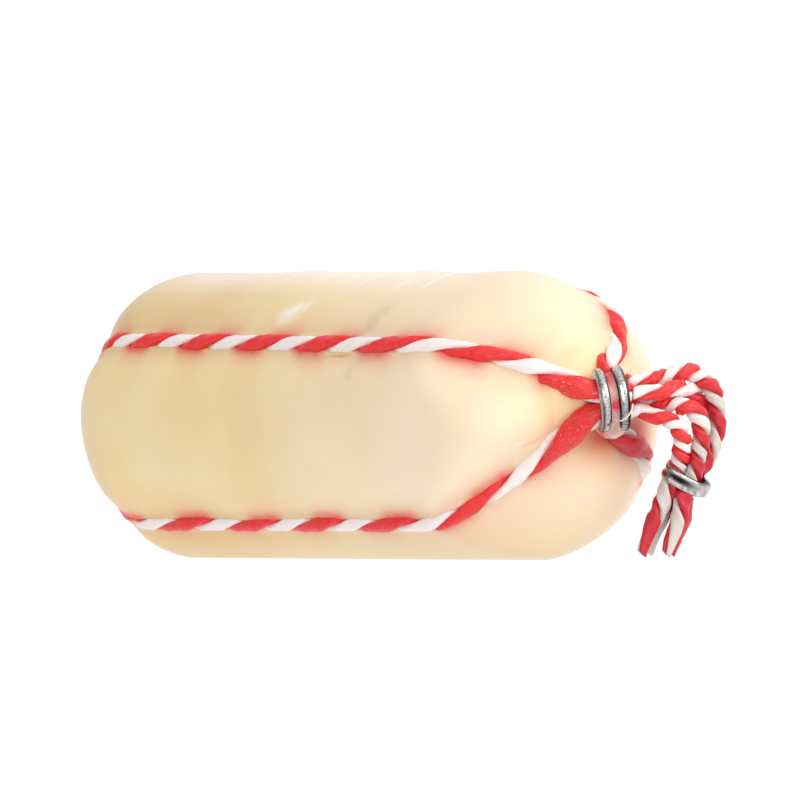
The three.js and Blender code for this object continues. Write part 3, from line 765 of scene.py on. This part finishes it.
def cheese_arrays(routes):
    """The skin's points with the wax's relief along their normals, their places on the unrolled skin, and
    how stained and shaded each one is, and how much painted shade in the furrows, painted glow round the
    gather and painted shadow beside the clip it takes."""
    t, angle = skin_grid()
    s, r = skin(t, angle)
    points = place(s, r, angle)
    around = np.roll(points, -1, 1) - np.roll(points, 1, 1)
    lengthwise = np.gradient(points, axis=0)
    normal = unit(np.cross(lengthwise, around))
    outward = (points - np.stack([s, 0 * s, axis_height(s)], -1)) * [0, 1, 1]
    normal *= np.sign(np.sum(normal * outward, -1).mean())
    offsets = [np.maximum(r, 1) * turn_between(angle, line_angle(t, k)) for k in range(len(LINES))]
    stain, shade, crease, relief = 0 * s, 0 * s, 0 * s, 0 * s - COAT_INSET
    for k, offset in enumerate(offsets):
        route = routes[k]
        leave = LEADS[k]["leave"]
        held = smooth(r, leave - HOLD_FADE, leave + HOLD_FADE)
        held = held * (1 - smooth(from_table(t, SINKS[k]), *BURIED))
        relief += MENISCUS["height"] * bell(np.abs(offset) - TWINE_RADIUS, MENISCUS["width"]) * held
        near, far = twine_stain(route, t, k, offset)
        stain = np.maximum(stain, near * held)
        shade = np.maximum(shade, far * held)
        # A tan painted shade in the furrow beside the twine
        crease = np.maximum(crease, bell(offset, FURROW_SHADE_WIDTH) * held)
    for at, angle_at, turn, length, width, height in DENTS:
        along, round_it = s - at, r * turn_between(angle, angle_at * DEG)
        cos, sin = math.cos(turn * DEG), math.sin(turn * DEG)
        long = (along * cos + round_it * sin) / length
        wide = (-along * sin + round_it * cos) / width
        relief += height * np.exp(-(long**2) - wide**2)
    for wave in WAVES:
        relief += wave["height"] * np.sin(s / wave["long"] + wave["start"]) * np.cos(
            wave["turns"] * angle + s / wave["skew"])
    points = points + normal * (relief * smooth(r, *RELIEF_FADE))[..., None]
    points[..., 2] = np.maximum(points[..., 2], 0)
    # Painted light glows round the gather, and a reddish painted shadow darkens the pit beside the clip
    glow = GLOW["strength"] * bell(np.linalg.norm(points - NECK_START, axis=-1), GLOW["reach"])
    blush = CLIP_SHADOW["strength"] * sum(
        bell(np.linalg.norm(points - centre, axis=-1), CLIP_SHADOW["reach"]) for centre in CLIP_SHADOW["centres"])
    unrolled = np.stack([s, angle * SKIN_RADIUS], -1)
    values = {"stain": stain, "shade": shade, "crease": crease, "glow": glow, "blush": blush}
    return points, unrolled, values


def make_cheese(routes):
    """The cheese's skin as one piece, closed at both poles by a fan whose middle has its ring's means."""
    points, unrolled, values = cheese_arrays(routes)
    shell_points, triangles = capped(points)
    values = {key: np.concatenate([v.ravel(), v[:1].mean(1), v[-1:].mean(1)]) for key, v in values.items()}
    pattern = np.concatenate([unrolled.reshape(-1, 2), unrolled[:1].mean(1), unrolled[-1:].mean(1)])
    return piece("waxed_cheese", [(shell_points, triangles, 0, pattern)], [waxed_cheese()],
                 ["cheese"], values)


# The clips

def band_shell(band):
    """A flattened wire bent round the neck: a half-round section carried along an arc, its ends rounded."""
    centre = NECK_START + NECK * band["along"]
    a = np.linspace(band["from"], band["to"], BAND_ROWS) * DEG
    out = NECK_FRONT * np.cos(a)[:, None] + NECK_UP * np.sin(a)[:, None]
    v = circle(BAND_SIDES)
    across = np.sign(np.cos(v)) * np.abs(np.cos(v)) ** BAND_SQUARE
    high = np.sin(v)
    high = np.where(high > 0, high, BAND_INNER * np.sign(high) * np.abs(high) ** BAND_INNER_POWER)
    share = np.linspace(0, 1, BAND_ROWS)
    length = abs(band["from"] - band["to"]) * DEG * BAND_RADIUS
    to_end = np.minimum(share, 1 - share) * length
    taper = np.sqrt(np.clip(1 - (1 - np.clip(to_end / BAND_END, 0, 1)) ** 2, BAND_TIP, 1))
    ridge = band["ridges"] * np.sin(2 * math.pi * (1 - share) * length / RIDGE_PITCH)
    ridge = ridge * smooth(share * length, length - RIDGE_STRETCH - 1, length - RIDGE_STRETCH)
    width = (BAND_WIDTH / 2 * taper)[:, None] * across
    height = BAND_THICK / 2 * (taper[:, None] * high + ridge[:, None] * (high > RIDGE_FROM))
    grid = centre + out[:, None, :] * (BAND_RADIUS + height)[..., None] + NECK * width[..., None]
    points, triangles = capped(grid)
    pattern = np.stack(np.broadcast_arrays(share[:, None] * length, v * BAND_WIDTH / 2), -1).reshape(-1, 2)
    # The edge value is painted on the metal: dark reflections at the sides and on one line, shade at the
    # lower end and in the ridges' valleys
    left, right = band["edges"]
    line_at, line_shade = band["line"]
    beside = np.where(np.cos(v) < 0, left, right) * np.abs(np.cos(v)) ** EDGE_POWER
    beside += line_shade * bell(across - line_at, LINE_SPREAD)
    below = band["low"] * smooth(share, *LOW_SHADE)
    edge = beside + below[:, None] + np.clip(-ridge / RIDGE_DEEP, 0, 1)[:, None]
    edge = np.concatenate([edge.ravel(), [EDGE_SHADE, EDGE_SHADE]])
    return (points, triangles, 0, with_ends(pattern)), {"edge": edge}


def tassel_band_shell():
    """The tassel's clip: a ring pressed square by a superellipse, its section crowned outside, with a bulge
    on its right by a bell of the angle, and a groove round the rest."""
    turn = circle(RING_ROWS)[:, None]
    v = circle(RING_SIDES)[None, :]
    corner = np.abs(np.cos(turn)) ** RING["squareness"] + np.abs(np.sin(turn)) ** RING["squareness"]
    inner = RING["inner_half"] * corner ** (-1 / RING["squareness"])
    degrees = (turn / DEG + 180) % 360 - 180
    swell = RING["bulge"] * bell(degrees, RING["bulge_spread"])
    thick = RING["thick"] + swell
    outward = np.clip(np.sin(v), 0, 1) ** RING["crown"]
    rim = np.sign(np.cos(v)) * np.abs(np.cos(v)) ** RING["rim"]
    width = RING["width"] / 2 * rim * (1 + RING["widens"] * bell(degrees, RING["bulge_spread"]))
    groove = RING["groove"] * bell(rim, RING["groove_wide"]) * (1 - bell(degrees, RING["groove_gap"]))
    radius = inner + (thick - groove) * outward
    tilt = RING["tilt"] * DEG
    lean = RING["lean"] * DEG
    right = from_view([math.cos(tilt), 0, -math.sin(tilt)])
    upward = from_view([math.sin(tilt), 0, math.cos(tilt)])
    axis = upward * math.cos(lean) + TOWARD * math.sin(lean)
    third = np.cross(right, axis)
    grid = (RING["centre"] + right * (radius * np.cos(turn))[..., None]
            + third * (radius * np.sin(turn))[..., None] + axis * width[..., None])
    lay = turn * RING["inner_half"] * RING["plain"], v * RING["plain"]
    pattern = np.stack(np.broadcast_arrays(*lay), -1).reshape(-1, 2)
    # The edge value is painted on the metal: dark reflections along the rims, fainter on the side that
    # faces the camera, and a dark reflection with shade along the groove on that side
    facing = bell(degrees - RING["dark_at"], RING["dark_spread"])
    edge = (EDGE_SHADE * (1 - RING["facing_edges_unshaded"] * facing) * np.abs(np.cos(v)) ** EDGE_POWER
            + RING["dark"] * bell(rim - RING["dark_rim"], RING["dark_wide"]) * facing)
    triangles = grid_triangles(RING_ROWS, RING_SIDES, True)
    return (grid.reshape(-1, 3), triangles, 0, pattern), {"edge": edge.ravel()}


def round_neck(angle, along, radius):
    """Points round the neck: an angle in degrees from its front, a place along it and a radius."""
    a = (angle * DEG)[..., None]
    around = NECK_FRONT * np.cos(a) + NECK_UP * np.sin(a)
    return NECK_START + NECK * along[..., None] + around * radius[..., None]


def film_shell():
    """The wax that fills the gap between the bands and hangs below them as a lump: a layer over the
    strands, its outer face raised by a bell at the lump and drawn in to nothing at its edges."""
    u = np.linspace(0, 1, FILM_ROWS)[:, None]
    w = np.linspace(0, 1, FILM_COLUMNS)[None, :]
    angle = FILM["from"] + (FILM["to"] - FILM["from"]) * u + 0 * w
    flare = FILM["flare"] * bell(angle - LUMP["angle"], LUMP["spread"])
    along = FILM["start"] - flare + (FILM["end"] - FILM["start"] + 2 * flare) * w
    edge_u, edge_w = (np.sqrt(np.clip(1 - np.abs(2 * x - 1) ** FILM["edge_power"], 0, 1)) for x in (u, w))
    lump = LUMP["height"] * bell(angle - LUMP["angle"], LUMP["spread"])
    lump = lump * bell(along - LUMP["along"], LUMP["reach"])
    ripple = RIPPLE["height"] * np.sin(angle / RIPPLE["degrees"] + along) * np.sin(along * RIPPLE["rate"])
    outer = FILM["inner"] + (FILM["outer"] - FILM["inner"] + lump + ripple) * edge_u * edge_w
    inner = np.full_like(outer, FILM["inner"] - FILM["wall"])
    shell = [round_neck(angle, along, outer), round_neck(angle, along, inner)[:, ::-1]]
    points, triangles = capped(np.concatenate(shell, 1))
    dye = sum(strength * bell(angle - a, spread) * bell(along - at, reach)
              for a, at, spread, reach, strength in DYE_SPOTS)
    dye = np.concatenate([dye, dye[:, ::-1]], 1).ravel()
    return (points, triangles, 0, None), {"dye": with_ends(dye)}


def fibre_shell():
    """A stray white fibre that crosses the right band: a thin tube on a smooth line."""
    points, _, _ = smooth_line(from_view(FIBRE), FIBRE_STEP)
    _, normal, side = frames_of(points, np.broadcast_to(NECK, points.shape))
    v = circle(FIBRE_SIDES)[None, :, None]
    around = np.cos(v) * normal[:, None, :] + np.sin(v) * side[:, None, :]
    shell_points, triangles = capped(points[:, None, :] + FIBRE_RADIUS * around)
    return shell_points, triangles, 0, None


# Materials

def linear(hex_colour):
    """An sRGB hex colour as linear red, green, blue and a full alpha."""
    srgb = [int(hex_colour[i:i + 2], 16) / 255 for i in (1, 3, 5)]
    return [c / 12.92 if c <= 0.04045 else ((c + 0.055) / 1.055) ** 2.4 for c in srgb] + [1]


def set_inputs(tree, made, **inputs):
    """Sets a node's sockets, named or numbered as i0, to a number, a colour or another node's output."""
    for key, value in inputs.items():
        numbered = key[0] == "i" and key[1:].isdigit()
        socket = made.inputs[int(key[1:]) if numbered else key.replace("_", " ")]
        if isinstance(value, bpy.types.NodeSocket):
            tree.links.new(value, socket)
        else:
            socket.default_value = value


def set_stops(elements, stops):
    """Gives a colour ramp the (place, hex colour) of each stop."""
    while len(elements) < len(stops):
        elements.new(0.5)
    for element, (at, colour) in zip(elements, stops):
        element.position = at
        element.color = linear(colour)


def node(tree, kind, settings=None, out=0, **inputs):
    """Adds a node and gives one of its outputs. Settings are its properties, and stops a ramp's colours."""
    made = tree.nodes.new("ShaderNode" + kind)
    for key, value in (settings or {}).items():
        if key == "stops":
            set_stops(made.color_ramp.elements, value)
        else:
            setattr(made, key, value)
    set_inputs(tree, made, **inputs)
    return made.outputs[out]


def material(name):
    """A new material, its tree and its principled shader."""
    made = bpy.data.materials.new(name)
    made.use_nodes = True
    return made, made.node_tree, made.node_tree.nodes["Principled BSDF"]


def attributes(tree, *names):
    """The outputs of the piece's named vertex values."""
    return [node(tree, "Attribute", {"attribute_name": name}, "Fac") for name in names]


def mask(tree, strength, *shares, spans=()):
    """The strength times the shares and, for each span (value, (low, high)), how far its value has come
    from low to high, kept within 0 and 1 at each step."""
    reached = [node(tree, "MapRange", Value=value, i1=low, i2=high) for value, (low, high) in spans]
    product = strength
    for share in (*shares, *reached):
        product = node(tree, "Math", {"operation": "MULTIPLY", "use_clamp": True}, i0=share, i1=product)
    return product


def tinted(tree, colour, layers):
    """The colour turned in turn towards the hex colour of each layer, by the layer's share."""
    for share, tint in layers:
        colour = node(tree, "Mix", {"data_type": "RGBA"}, 2, i0=share, i6=colour, i7=linear(tint))
    return colour


def stroke(tree, lay, start, end, wide):
    """How near the unrolled skin is to a stroke's middle: 1 there, 0 at the oval round its two ends."""
    (x0, y0), (x1, y1) = start, end
    oval = node(tree, "Mapping", {"vector_type": "TEXTURE"}, Vector=lay,
                Location=((x0 + x1) / 2, (y0 + y1) / 2, 0), Rotation=(0, 0, math.atan2(y1 - y0, x1 - x0)),
                Scale=(math.hypot(x1 - x0, y1 - y0) / 2, wide, 1))
    return node(tree, "TexGradient", {"gradient_type": "SPHERICAL"}, "Fac", Vector=oval)


def waxed_cheese():
    """Young pulled-curd cheese, pale cream, dipped in clear paraffin wax: a soft satin glow with faint
    mottling, red dye bled from the twine into the wax beside it, white scuffs in the wax painted lighter as
    highlights, and folds in it painted darker as shade. Painted light pales the gathered end, puts a sheen
    on the top and glows round the gather; painted shade tans the upper left, the furrows and the pit by the
    clip."""
    made, tree, shader = material("paraffin_waxed_cheese")
    place = node(tree, "TexCoord", out="Object")
    lay = node(tree, "UVMap", {"uv_map": "lay"})
    along, round_it = (node(tree, "SeparateXYZ", out=axis, Vector=lay) for axis in "XY")
    height = node(tree, "SeparateXYZ", out="Z", Vector=place)
    height = node(tree, "Math", {"operation": "DIVIDE"}, i0=height, i1=MM)
    mottle, fine, patches, specks, dimples, satin = (
        node(tree, "TexNoise", out="Fac", Vector=place, Scale=1 / (size * MM), Detail=detail)
        for size, detail in WAX_NOISES)
    whitish, faded, dyed = (node(tree, "Math", {"operation": "ADD"}, i0=value, i1=more)
                            for value, more in ((fine, 0.35), (patches, 0.4), (specks, 0.55)))
    crease, glow, blush, shade, stain = attributes(tree, "crease", "glow", "blush", "shade", "stain")
    creams = [(0.32, "#f0d199"), (0.52, "#f5daa5"), (0.7, "#f9e2b5")]
    colour = tinted(tree, node(tree, "ValToRGB", {"stops": creams}, Fac=mottle), [
        (mask(tree, 0.1, fine), "#fff2da"),
        # Painted light, paler towards the gathered end
        (mask(tree, 0.75, spans=[(along, LIT_PALE_END)]), "#fde6cf"),
        (mask(tree, 0.6, spans=[(height, WARM["below"]), (along, WARM["left"])]), "#f0bb78"),
        (mask(tree, 0.6, spans=[(height, UNDER)]), "#e2c48b"),
        # Tan painted shade at the upper left
        (mask(tree, 0.5, spans=[(round_it, TAN_SHADE["low"]), (round_it, TAN_SHADE["high"]), (along, TAN_SHADE["left"])]),
         "#d3ae72"),
        # Whitish wax on top with a painted sheen
        (mask(tree, 0.75, whitish, spans=[(round_it, WHITISH_TOP_SHEEN["low"]), (round_it, WHITISH_TOP_SHEEN["high"]),
                                          (along, WHITISH_TOP_SHEEN["left"]), (along, WHITISH_TOP_SHEEN["right"])]), "#fff3ea"),
        # Tan painted shade in the furrows beside the twines
        (mask(tree, 0.25, crease), "#e9bd8a"),
        # Painted glow of light round the gather, then the reddish painted shadow in the pit beside the clip
        (glow, "#ffd89c"),
        (blush, "#c6532c"),
        (mask(tree, 0.5, shade, faded), "#d98a70"),
        (mask(tree, 1, stain, dyed), "#ee3c3a"),
    ])
    # The marks' outlines wander by up to 0.8 mm
    wander = node(tree, "TexNoise", out="Color", Vector=lay, Scale=0.6, Detail=3)
    wander = node(tree, "VectorMath", {"operation": "SUBTRACT"}, i0=wander, i1=(0.5, 0.5, 0.5))
    ragged = node(tree, "VectorMath", {"operation": "MULTIPLY_ADD"}, i0=wander, i1=(1.6, 1.6, 0), i2=lay)
    relief = dimples
    # White scuffs painted lighter as highlights, folds painted darker as shade
    for start, end, wide, tint, strength in MARKS:
        share = mask(tree, strength, spans=[(stroke(tree, ragged, start, end, wide), MARK_FADE)])
        colour = tinted(tree, colour, [(share, tint)])
        change = "ADD" if tint == WHITE_SCUFF_HIGHLIGHT else "SUBTRACT"
        relief = node(tree, "Math", {"operation": change}, i0=relief, i1=share)
    rough = node(tree, "MapRange", Value=satin, i3=0.34, i4=0.52)
    bump = node(tree, "Bump", Height=relief, Strength=0.25, Distance=0.0004)
    set_inputs(tree, shader, Base_Color=colour, Roughness=rough, IOR=1.44, Normal=bump, Coat_Weight=0.25,
               Coat_Roughness=0.3, Subsurface_Weight=0.3, Subsurface_Radius=(1.0, 0.6, 0.3),
               Subsurface_Scale=0.004)
    return made


def waxed_cotton(name, ply_colours, fleck_glint_colour, wet_fleck_glints, deep_shade_colour):
    """Waxed cotton ply: fine fibres laid along it, wax standing in flecks on the fibres' crests, painted
    lighter as glints, and a painted shade on the stretches that lie in shade. The fibres are drawn a
    quarter of a millimetre thick, coarser than real ones, so that they show."""
    made, tree, shader = material(name)
    lay = node(tree, "UVMap", {"uv_map": "lay"})
    wet, soaked = attributes(tree, "wet", "soaked")
    slanted = node(tree, "Mapping", Vector=lay, Rotation=(0, 0, FIBRE_SLANT), Scale=(0.35, 2.6, 1))
    fibres = node(tree, "TexNoise", out="Fac", Vector=slanted, Scale=1.6, Detail=3)
    stretched = node(tree, "Mapping", Vector=lay, Rotation=(0, 0, FIBRE_SLANT), Scale=(0.45, 2.8, 1))
    fleck_glints = node(tree, "TexNoise", out="Fac", Vector=stretched, Scale=1.7, Detail=4, Roughness=0.7)
    amount = node(tree, "Math", {"operation": "MULTIPLY_ADD"}, i0=wet, i1=wet_fleck_glints, i2=DRY_FLECK_GLINTS)
    unshaded = node(tree, "Math", {"operation": "SUBTRACT"}, i0=1.0, i1=soaked)
    colour = tinted(tree, node(tree, "ValToRGB", {"stops": ply_colours}, Fac=fibres), [
        # Painted shade: crimson on the red ply, grey on the white
        (mask(tree, 0.85, soaked), deep_shade_colour),
        # Whitish painted glints on the wax's flecks
        (mask(tree, amount, unshaded, spans=[(fleck_glints, FLECK_GLINT_CRESTS)]), fleck_glint_colour),
    ])
    bump = node(tree, "Bump", Height=fibres, Strength=0.3, Distance=0.00022)
    set_inputs(tree, shader, Base_Color=colour, Roughness=0.42, IOR=1.46, Normal=bump, Coat_Weight=0.2,
               Coat_Roughness=0.25, Subsurface_Weight=0.15, Subsurface_Radius=(1.0, 0.4, 0.3),
               Subsurface_Scale=0.0008)
    return made


def pressed_aluminium():
    """Aluminium wire pressed into a clip by a steel die: bright, with fine drag marks along it, small
    nicks, and painted dark reflections and shade where the piece's edge value is high."""
    made, tree, shader = material("pressed_aluminium_wire")
    lay = node(tree, "UVMap", {"uv_map": "lay"})
    drawn = node(tree, "Mapping", Vector=lay, Scale=(0.5, 5, 1))
    marks = node(tree, "TexNoise", out="Fac", Vector=drawn, Scale=1.4, Detail=4, Roughness=0.7)
    nicks = node(tree, "TexNoise", out="Fac", Vector=lay, Scale=1.9, Detail=3, Roughness=0.6)
    greys = [(0.3, "#8d8885"), (0.42, "#c2bebb"), (0.62, "#efedeb")]
    bright = node(tree, "ValToRGB", {"stops": greys}, Fac=nicks)
    uneven = node(tree, "Math", {"operation": "ADD"}, i0=nicks, i1=0.45)
    colour = tinted(tree, bright, [(mask(tree, *attributes(tree, "edge"), uneven), "#2e2726")])
    rough = node(tree, "MapRange", Value=marks, i3=0.1, i4=0.24)
    height = node(tree, "Math", {"operation": "ADD"}, i0=marks, i1=nicks)
    bump = node(tree, "Bump", Height=height, Strength=0.08, Distance=0.0001)
    set_inputs(tree, shader, Base_Color=colour, Metallic=1.0, Roughness=rough, Normal=bump)
    return made


def soft_paraffin():
    """Soft clear wax pressed round the strands: pinkish and cloudy, with spots of red dye inside it."""
    made, tree, shader = material("soft_paraffin_film")
    place = node(tree, "TexCoord", out="Object")
    clouds, dimples = (node(tree, "TexNoise", out="Fac", Vector=place, Scale=1 / (size * MM), Detail=detail)
                       for size, detail in ((2.2, 3), (1.2, 2)))
    pinks = [(0.3, "#c4918b"), (0.5, "#d2a89d"), (0.7, "#ddcab8")]
    cloudy = node(tree, "ValToRGB", {"stops": pinks}, Fac=clouds)
    colour = tinted(tree, cloudy, [(mask(tree, 1, *attributes(tree, "dye")), "#d5263c")])
    bump = node(tree, "Bump", Height=dimples, Strength=0.4, Distance=0.0003)
    set_inputs(tree, shader, Base_Color=colour, Roughness=0.25, Normal=bump, Coat_Weight=0.4,
               Coat_Roughness=0.15, Subsurface_Weight=0.4, Subsurface_Radius=(1.0, 0.5, 0.4),
               Subsurface_Scale=0.0015)
    return made


# Camera and light

def make_camera():
    """The photograph's camera: a long lens, level with the table, turned to the cheese's middle."""
    data = bpy.data.cameras.new("camera")
    data.lens = CAMERA_LENS_MM
    data.sensor_width = SENSOR_MM
    data.clip_start, data.clip_end = CAMERA_CLIP
    camera = bpy.data.objects.new("camera", data)
    bpy.context.collection.objects.link(camera)
    camera.location = Vector(CAMERA_PLACE * MM)
    direction = Vector(CAMERA_TARGET - CAMERA_PLACE)
    camera.rotation_mode = "QUATERNION"
    camera.rotation_quaternion = direction.to_track_quat("-Z", "Y")
    bpy.context.scene.camera = camera


def make_light(name, spot, size, power, colour):
    """A square soft box that faces the cheese."""
    data = bpy.data.lights.new(name, "AREA")
    data.size = size
    data.energy = power
    data.color = linear(colour)[:3]
    light = bpy.data.objects.new(name, data)
    bpy.context.collection.objects.link(light)
    light.location = Vector(from_view(spot))
    light.rotation_mode = "QUATERNION"
    light.rotation_quaternion = (LIGHT_TARGET - light.location).to_track_quat("-Z", "Y")


def make_world():
    """White behind and to the right, darker at the camera's left, so that metal has something to show."""
    world = bpy.data.worlds.new("studio")
    bpy.context.scene.world = world
    world.use_nodes = True
    tree = world.node_tree
    direction = node(tree, "TexCoord", out="Generated")
    dark = node(tree, "VectorMath", {"operation": "DOT_PRODUCT"}, "Value", i0=direction, i1=WORLD_DARK_SIDE)
    share = node(tree, "Math", {"operation": "MULTIPLY_ADD"}, i0=dark, i1=0.5, i2=0.5)
    colour = node(tree, "ValToRGB", {"stops": WORLD_STOPS}, Fac=share)
    set_inputs(tree, tree.nodes["Background"], Color=colour, Strength=WORLD_STRENGTH)


bpy.context.scene.view_settings.view_transform = "Standard"
make_camera()

twine_routes = {}
for first, second, rise in ((0, 2, 0), (1, 3, CROSSING_HUMP["height"])):
    route = net_twine(first, second, rise)
    twine_routes[first] = route
    twine_routes[second] = route

make_cheese(twine_routes)
reds = [(0.3, "#d81820"), (0.55, "#f02a2c"), (0.8, "#f6443f")]
whites = [(0.3, "#efe2e2"), (0.55, "#f9f0ee"), (0.8, "#fdf8f6")]
# After each ply's colours come its painted glints' colour and their amount when wet, then its painted shade
red = waxed_cotton("waxed_cotton_red", reds, "#ffc9c2", 0.6, "#bd142a")
white = waxed_cotton("waxed_cotton_white", whites, "#ffffff", 0.4, "#cdc3bc")

for name, k in (("twine_under", 0), ("twine_over", 1)):
    route = twine_routes[k]
    shells = [ply(route, 0, 0, RED_SHARE), ply(route, math.pi, 1, WHITE_SHARE)]
    piece("net_" + name, shells, [red, white], [name], ply_values(route))

shell, values = tassel_band_shell()
tassel_band = piece("tassel_band", [shell], [pressed_aluminium()], ["tassel_clip"], values)
aluminium = tassel_band.data.materials[0]
for k, name in enumerate(TAILS):
    route = tail_route(name)
    shells = [ply(route, 0, 0, RED_SHARE, CUT_SLANT), ply(route, math.pi, 1, WHITE_SHARE, CUT_SLANT)]
    tail = piece(name.replace("tail", "tassel"), shells, [red, white], [name], ply_values(route))

for band in BANDS:
    shell, values = band_shell(band)
    side = band["name"]
    piece("gather_band_" + side, [shell], [aluminium], ["clip_band_" + side], values)

shell, values = film_shell()
piece("neck_wax_film", [shell], [soft_paraffin()], (), values)
piece("stray_fibre", [fibre_shell()], [white])
for name, values in LIGHTS.items():
    make_light(name, *values)
make_world()
